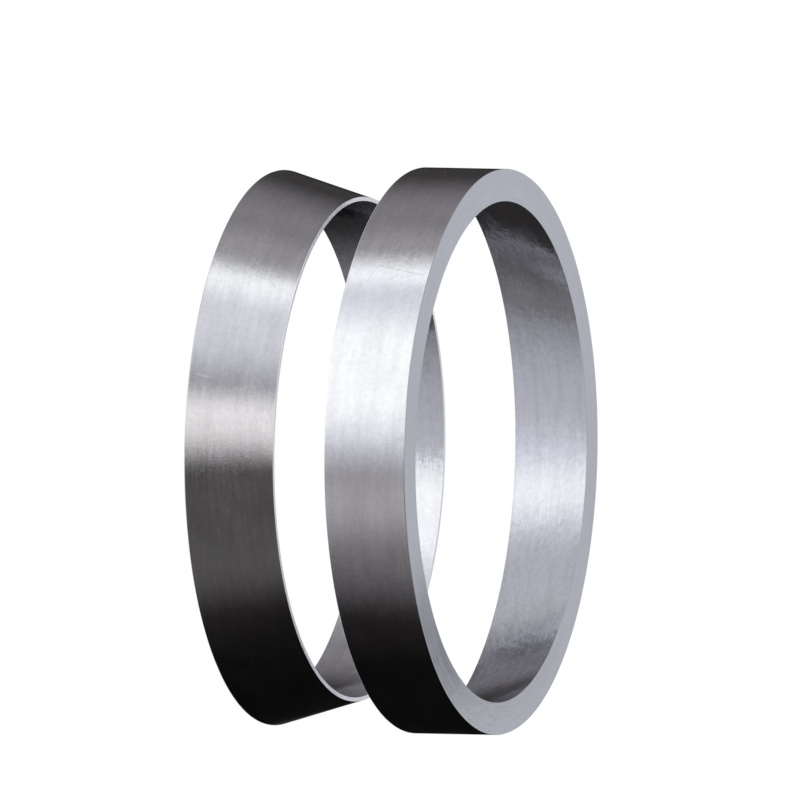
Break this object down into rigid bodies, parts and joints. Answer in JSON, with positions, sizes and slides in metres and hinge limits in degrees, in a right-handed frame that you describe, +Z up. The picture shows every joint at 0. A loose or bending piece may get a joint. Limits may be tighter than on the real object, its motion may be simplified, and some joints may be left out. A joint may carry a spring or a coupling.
{
  "type": "shaft locking device",
  "caption": "Keyless shaft locking device: a plain steel inner ring with a conical outside and an outer ring with a matching conical bore, standing apart on one axis.",
  "frame": {"origin": "on the common axis, halfway along the outer ring", "axes": "+X along the axis, out of the outer ring's thick end, the way the inner ring slides to seat; +Z up"},
  "size_m": [0.0238, 0.057, 0.057],
  "materials": {
    "ground_steel": "bare fine-turned steel, satin, with fine lines round the axis"
  },
  "bodies": {
    "outer_ring_body": {"outer_ring": "ground_steel"},
    "inner_ring_body": {"inner_ring": "ground_steel"}
  },
  "joints": [
    {"name": "inner_ring_slide", "type": "slide", "parent": "outer_ring_body", "child": "inner_ring_body", "axis": [1, 0, 0], "range_m": [0, 0.0146]}
  ]
}
